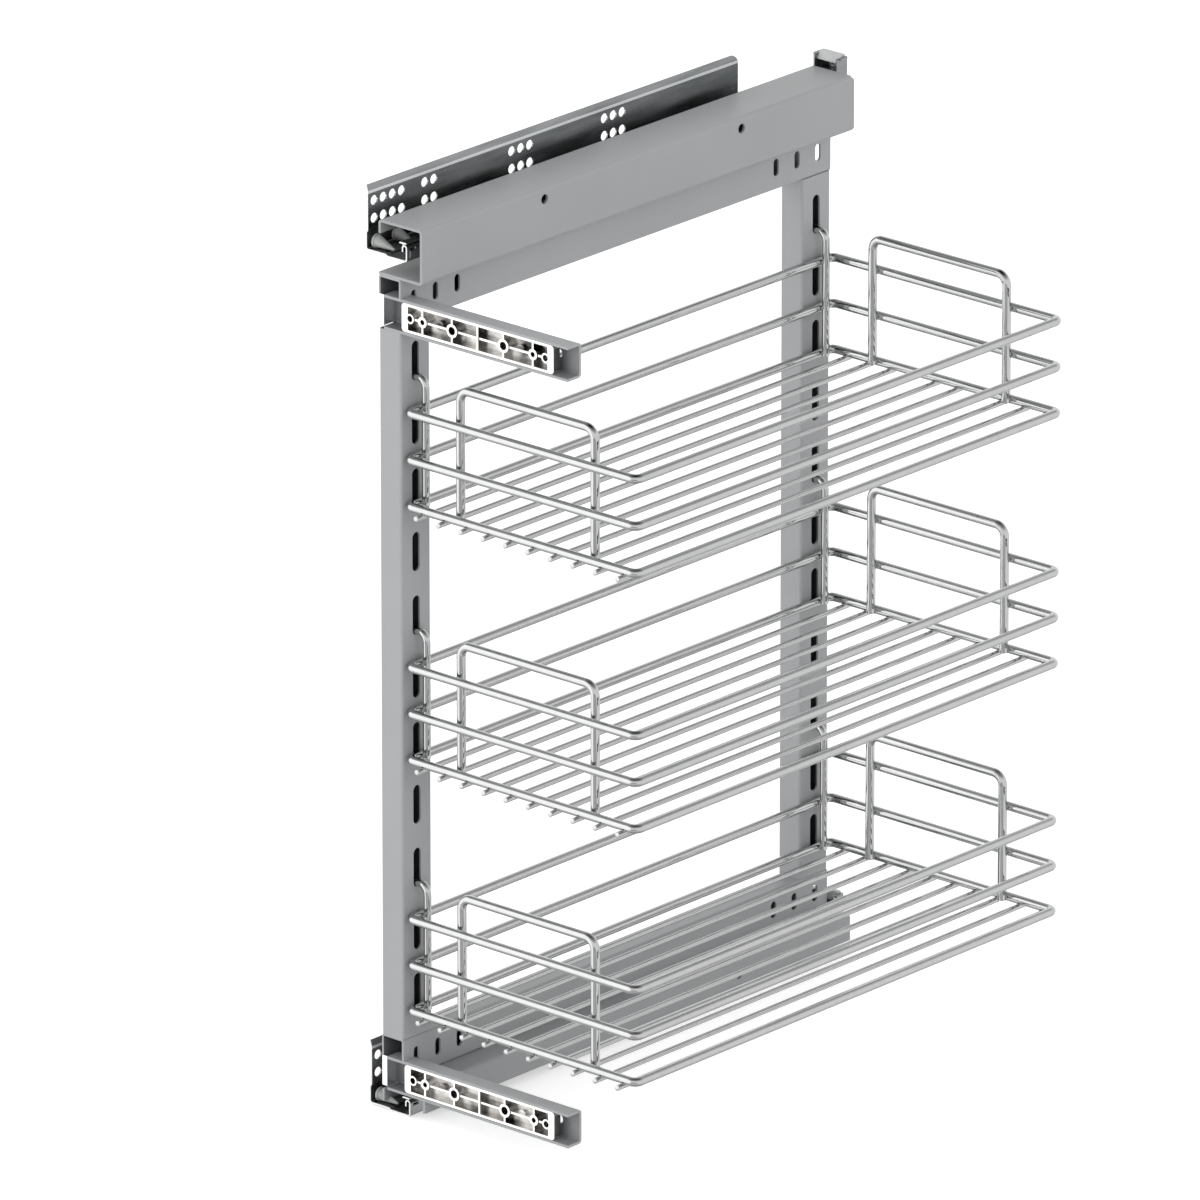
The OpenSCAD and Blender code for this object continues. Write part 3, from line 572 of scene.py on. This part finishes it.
@dataclass
class PressedPart:
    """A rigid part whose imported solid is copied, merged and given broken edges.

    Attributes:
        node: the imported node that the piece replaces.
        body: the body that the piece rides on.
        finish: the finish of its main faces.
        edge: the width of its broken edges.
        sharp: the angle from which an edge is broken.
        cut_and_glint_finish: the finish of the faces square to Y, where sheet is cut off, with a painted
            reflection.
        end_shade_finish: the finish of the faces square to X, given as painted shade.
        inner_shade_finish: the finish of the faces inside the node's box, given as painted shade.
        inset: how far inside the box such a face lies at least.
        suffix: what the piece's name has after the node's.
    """

    node: str
    body: str
    finish: Finish
    edge: float = 0.2 * MM
    sharp: float = math.radians(35)
    cut_and_glint_finish: Finish | None = None
    end_shade_finish: Finish | None = None
    inner_shade_finish: Finish | None = None
    inset: float = 1.0 * MM
    suffix: str = "finished"

    def is_inside(self, face: bmesh.types.BMFace, low: Vector, high: Vector) -> bool:
        """Tells whether a face lies well inside a box on all three axes.

        Args:
            face: the face.
            low: the box's low corner.
            high: the box's high corner.
        """
        middle = face.calc_center_median()
        return all(low[axis] + self.inset < middle[axis] < high[axis] - self.inset for axis in range(3))

    def dress(self, bm: bmesh.types.BMesh) -> tuple[Finish, ...]:
        """Gives cut edges a painted reflection, and end faces and inner faces painted shade, each in its
        own finish.

        Args:
            bm: the copied mesh.

        Returns:
            The extra finishes in the order of their material indices.
        """
        extras = []
        low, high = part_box(self.node)
        # Cut ends get their painted reflection; end faces and inner faces get their painted shade.
        for finish, belongs in ((self.cut_and_glint_finish, lambda face: abs(face.normal.y) > FACES_AN_AXIS),
                                (self.end_shade_finish, lambda face: abs(face.normal.x) > FACES_AN_AXIS),
                                (self.inner_shade_finish, lambda face: self.is_inside(face, low, high))):
            if finish is None:
                continue
            extras.append(finish)
            for face in bm.faces:
                if belongs(face):
                    face.material_index = len(extras)
        return tuple(extras)

    def build(self) -> bpy.types.Object:
        """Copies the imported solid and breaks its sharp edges.

        Returns:
            The finished piece.
        """
        work = Workpiece(f"{self.node}_{self.suffix}", self.body, (self.node,), self.finish)
        work.bm.from_mesh(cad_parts[self.node].data)
        bmesh.ops.remove_doubles(work.bm, verts=work.bm.verts, dist=MERGE_DISTANCE)
        bmesh.ops.dissolve_limit(work.bm, angle_limit=FLAT_ANGLE, use_dissolve_boundaries=False,
                                 verts=work.bm.verts, edges=work.bm.edges, delimit={"NORMAL"})
        extras = self.dress(work.bm)
        corners = [edge for edge in work.bm.edges
                   if edge.is_manifold and edge.calc_face_angle(0.0) > self.sharp]
        bmesh.ops.bevel(work.bm, geom=corners, offset=self.edge, offset_type="OFFSET", segments=2,
                        profile=0.5, affect="EDGES", clamp_overlap=True, material=-1)
        return work.finish_piece(*extras)


@dataclass
class CabinetMember(PressedPart):
    """A runner's fixed member, with a painted highlight along its flange's bend.

    Attributes:
        line_drop: how far the painted highlight's upper edge lies below the flange's top.
        line_width: the painted highlight's width.
    """

    line_drop: float = 4.5 * MM
    line_width: float = 2.0 * MM

    def dress(self, bm: bmesh.types.BMesh) -> tuple[Finish, ...]:
        """Adds the painted highlight to what every pressed part gets.

        Args:
            bm: the copied mesh.

        Returns:
            The extra finishes in the order of their material indices.
        """
        extras = super().dress(bm)
        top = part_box(self.node)[1].z - self.line_drop
        for level in (top, top - self.line_width):
            bmesh.ops.bisect_plane(bm, geom=bm.verts[:] + bm.edges[:] + bm.faces[:], dist=CUT_DISTANCE,
                                   plane_co=(0, 0, level), plane_no=Axis.Z.value)
        # Faces that face +X within the band get the painted highlight.
        for face in bm.faces:
            height = face.calc_center_median().z
            if face.normal.x > FACES_THE_ROOM and top - self.line_width < height < top:
                face.material_index = len(extras) + 1
        return (*extras, BEND_HIGHLIGHT)


@dataclass
class Runner:
    """One concealed runner: cabinet member, middle member, drawer member and two roller cages."""

    where: str

    def build(self) -> None:
        """Makes the runner's sheet members, guides and rollers."""
        at = self.where
        CabinetMember(f"{at}_cabinet_member", "cabinet_side", GALVANISED, 0.12 * MM,
                      cut_and_glint_finish=CUT_EDGE_GLINT).build()
        PressedPart(f"{at}_guide_cones", "cabinet_side", GUIDE_GREY, 0.25 * MM).build()
        PressedPart(f"{at}_middle_member", f"{at}_middle_set", GALVANISED, 0.12 * MM,
                    cut_and_glint_finish=CUT_EDGE_GLINT).build()
        PressedPart(f"{at}_drawer_member", "pull_out", GALVANISED, 0.12 * MM).build()
        for cage in ("outer", "inner"):
            PressedPart(f"{at}_{cage}_cage", f"{at}_{cage}_cage_set", CAGE_BLACK, 0.15 * MM).build()
            PressedPart(f"{at}_{cage}_rollers", f"{at}_{cage}_cage_set", ROLLER_STEEL, 0.25 * MM).build()


@dataclass
class Carrier:
    """The folded sheet over a runner, with the clip, block and screw at its rear end."""

    where: str

    def build(self) -> None:
        """Makes the carrier and its rear fittings."""
        at = self.where
        PressedPart(f"{at}_carrier", "pull_out", CARRIER_GREY, 0.25 * MM).build()
        PressedPart(f"{at}_rear_clip", "pull_out", GALVANISED, 0.12 * MM).build()
        PressedPart(f"{at}_clip_block", "pull_out", CLIP_GREY, 0.3 * MM).build()
        PressedPart(f"{at}_clip_screw", "pull_out", ZINC_SCREW, 0.15 * MM).build()


@dataclass
class DoorBracket:
    """A door bracket with its filler block, ribbed adapter and screws."""

    where: str

    def build(self) -> None:
        """Makes the bracket and what it holds."""
        at = self.where
        PressedPart(f"{at}_door_bracket", "pull_out", POWDER_GREY, 0.2 * MM,
                    inner_shade_finish=BRACKET_INSIDE_SHADE).build()
        PressedPart(f"{at}_bracket_block", "pull_out", BLOCK_ZINC, 0.3 * MM).build()
        # The adapter's end faces and pocket faces carry painted shade.
        PressedPart(f"{at}_door_adapter", "pull_out", BRIGHT_NICKEL, 0.2 * MM,
                    end_shade_finish=NICKEL_END_SHADE, inner_shade_finish=NICKEL_POCKET_SHADE).build()
        PressedPart(f"{at}_adapter_screws", "pull_out", ZINC_SCREW, 0.2 * MM).build()


@dataclass
class TubeFrame:
    """The two posts and two rails of square-cut tube."""

    tubes: tuple[str, ...] = ("front_post", "rear_post", "upper_rail", "lower_rail")

    def build(self) -> None:
        """Makes the four tubes."""
        for tube in self.tubes:
            # The tubes' inner faces get painted shade.
            PressedPart(tube, "pull_out", POWDER_GREY, 0.15 * MM, inner_shade_finish=TUBE_INSIDE_SHADE).build()


@dataclass(frozen=True)
class SoftLamp:
    """A large round lamp that lights the object softly.

    Attributes:
        name: the lamp's name.
        place: where it hangs.
        size: its width in metres.
        power: its power in watts.
    """

    name: str
    place: Vector
    size: float
    power: float


@dataclass(frozen=True)
class ReflectionCard:
    """A round studio card that only metal and gloss see, shaded from its middle to its rim.

    Attributes:
        name: the card's name.
        place: where it hangs.
        radius: the radius of the card.
        middle_level: its strength in the middle.
        rim_level: its strength at the rim.
        core: the radius up to which it has its middle strength.
        sides: the number of edges round its rim.
    """

    name: str
    place: Vector
    radius: float
    middle_level: float
    rim_level: float
    core: float = 0.0
    sides: int = 64

    def build(self) -> None:
        """Hangs the card, aimed at the middle of the part."""
        bm = bmesh.new()
        bmesh.ops.create_circle(bm, cap_ends=True, segments=self.sides, radius=self.radius)
        mesh = bpy.data.meshes.new(self.name)
        bm.to_mesh(mesh)
        bm.free()
        bench = ShaderBench(f"{self.name}_glow")
        spot = bench.add("ShaderNodeTexCoord")
        reach = bench.add("ShaderNodeVectorMath", operation="LENGTH")
        bench.link(spot, "Object", reach, "Vector")
        level = bench.add("ShaderNodeMapRange", To_Min=self.middle_level, To_Max=self.rim_level)
        level.inputs["From Min"].default_value = self.core
        level.inputs["From Max"].default_value = self.radius
        bench.link(reach, "Value", level, "Value")
        glow = bench.add("ShaderNodeEmission")
        bench.link(level, "Result", glow, "Strength")
        bench.link(glow, "Emission", bench.output, "Surface")
        mesh.materials.append(bench.material)
        card = bpy.data.objects.new(self.name, mesh)
        bpy.context.scene.collection.objects.link(card)
        card.location = self.place
        card.rotation_euler = (CAD_MIDDLE - self.place).to_track_quat("Z", "Y").to_euler()
        card.visible_camera = False
        card.visible_diffuse = False
        card.visible_transmission = False
        card.visible_volume_scatter = False
        card.visible_shadow = False


@dataclass
class Studio:
    """Floor, world light, lamps, reflection cards and camera.

    Attributes:
        azimuth: the direction that the camera looks from, round +Z from the front.
        elevation: the camera's height angle.
        camera_place: where the camera stands.
        lens: its focal length in millimetres.
        sensor: its sensor's width in millimetres.
        clip_range: the nearest and the farthest distance that it sees.
        world_level: the world's strength for everything but camera, gloss and glass.
        floor_half: half the floor's width.
        floor_tone: the floor's reflectance.
        floor_roughness: the floor's roughness.
        floor_lift: what the floor adds to the camera's view of it, so that it reads white.
        floor_drop: the gap between the part's lowest point and the floor.
        lamps: what lights the object.
        cards: what metal and gloss mirror.
    """

    azimuth: float = math.radians(41.5)
    elevation: float = math.radians(19.83)
    camera_place: Vector = field(default_factory=lambda: Vector((7.8547, -8.636, 4.5824)))
    lens: float = 540.0
    sensor: float = 36.0
    clip_range: tuple[float, float] = (0.5, 60.0)
    world_level: float = 0.78
    floor_half: float = 14.0
    floor_tone: float = 0.9
    floor_roughness: float = 0.9
    floor_lift: float = 0.5
    floor_drop: float = 0.3 * MM
    lamps: tuple[SoftLamp, ...] = (
        SoftLamp("front_lamp", Vector((-1.2, -4.2, 1.6)), 2.6, 46.0),
        SoftLamp("side_lamp", Vector((4.2, -0.6, 2.2)), 2.2, 30.0),
    )
    cards: tuple[ReflectionCard, ...] = (
        ReflectionCard("ceiling_card", Vector((0.14, 0.22, 3.95)), 6.8, 0.01, 1.0, 0.9),
        ReflectionCard("ground_card", Vector((0.14, 0.22, -2.29)), 4.8, 0.33, 0.95),
        ReflectionCard("front_card", Vector((-3.1, -3.47, 1.29)), 4.2, 1.66, 1.52),
        ReflectionCard("near_card", Vector((2.38, -3.7, -2.25)), 3.0, 0.72, 0.36),
    )

    def build_world(self) -> None:
        """Lights everything evenly, and shows plain white to camera, gloss and glass."""
        world = bpy.data.worlds.new("studio")
        bpy.context.scene.world = world
        world.use_nodes = True
        tree = world.node_tree
        tree.nodes.clear()
        out = tree.nodes.new("ShaderNodeOutputWorld")
        path = tree.nodes.new("ShaderNodeLightPath")
        seen = tree.nodes.new("ShaderNodeMath")
        seen.operation = "MAXIMUM"
        tree.links.new(path.outputs["Is Camera Ray"], seen.inputs[0])
        tree.links.new(path.outputs["Is Glossy Ray"], seen.inputs[1])
        seen_too = tree.nodes.new("ShaderNodeMath")
        seen_too.operation = "MAXIMUM"
        tree.links.new(seen.outputs[0], seen_too.inputs[0])
        tree.links.new(path.outputs["Is Transmission Ray"], seen_too.inputs[1])
        level = tree.nodes.new("ShaderNodeMapRange")
        level.inputs["To Min"].default_value = self.world_level
        level.inputs["To Max"].default_value = 1.0
        tree.links.new(seen_too.outputs[0], level.inputs["Value"])
        light = tree.nodes.new("ShaderNodeBackground")
        light.inputs["Color"].default_value = (1, 1, 1, 1)
        tree.links.new(level.outputs["Result"], light.inputs["Strength"])
        tree.links.new(light.outputs["Background"], out.inputs["Surface"])

    def build_floor(self) -> None:
        """Lays the pale floor just under the part."""
        bm = bmesh.new()
        bmesh.ops.create_grid(bm, x_segments=1, y_segments=1, size=self.floor_half)
        bmesh.ops.translate(bm, vec=(0, 0, CAD_BOX[0].z - self.floor_drop), verts=bm.verts)
        mesh = bpy.data.meshes.new("floor")
        bm.to_mesh(mesh)
        bm.free()
        bench = ShaderBench("pale_floor")
        bench.shader.inputs["Base Color"].default_value = (*(self.floor_tone,) * 3, 1)
        bench.shader.inputs["Roughness"].default_value = self.floor_roughness
        path = bench.add("ShaderNodeLightPath")
        lift = bench.add("ShaderNodeMath", operation="MULTIPLY")
        lift.inputs[1].default_value = self.floor_lift
        bench.link(path, "Is Camera Ray", lift, "Value")
        bench.shader.inputs["Emission Color"].default_value = (1, 1, 1, 1)
        bench.link(lift, "Value", bench.shader, "Emission Strength")
        mesh.materials.append(bench.material)
        floor = bpy.data.objects.new("floor", mesh)
        bpy.context.scene.collection.objects.link(floor)
        floor.visible_glossy = False

    def build_lamps(self) -> None:
        """Hangs the soft lamps, aimed at the middle of the part."""
        for lamp in self.lamps:
            data = bpy.data.lights.new(lamp.name, "AREA")
            data.shape = "DISK"
            data.size = lamp.size
            data.energy = lamp.power
            thing = bpy.data.objects.new(lamp.name, data)
            bpy.context.scene.collection.objects.link(thing)
            thing.location = lamp.place
            thing.rotation_euler = (CAD_MIDDLE - lamp.place).to_track_quat("-Z", "Y").to_euler()
            thing.visible_glossy = False

    def build_camera(self) -> None:
        """Sets the long-lens camera at the photograph's viewing angle."""
        data = bpy.data.cameras.new("camera")
        data.sensor_width = self.sensor
        data.lens = self.lens
        data.clip_start, data.clip_end = self.clip_range
        camera = bpy.data.objects.new("camera", data)
        bpy.context.scene.collection.objects.link(camera)
        camera.location = self.camera_place
        down = math.cos(self.elevation)
        look = Vector((-math.sin(self.azimuth) * down, math.cos(self.azimuth) * down,
                       -math.sin(self.elevation)))
        camera.rotation_euler = look.to_track_quat("-Z", "Y").to_euler()
        bpy.context.scene.camera = camera

    def build(self) -> None:
        """Sets up the whole studio."""
        bpy.context.scene.view_settings.view_transform = "Standard"
        self.build_camera()
        self.build_world()
        self.build_floor()
        self.build_lamps()
        for card in self.cards:
            card.build()


def main() -> None:
    """Builds the studio and every sub-assembly in order."""
    logging.basicConfig(level=logging.INFO, format="%(name)s %(message)s")
    Studio().build()
    for where in ("upper", "lower"):
        Runner(where).build()
        Carrier(where).build()
        DoorBracket(where).build()
    TubeFrame().build()
    for level in ("top", "middle", "bottom"):
        WireBasket(level).build()


if __name__ == "__main__":
    main()
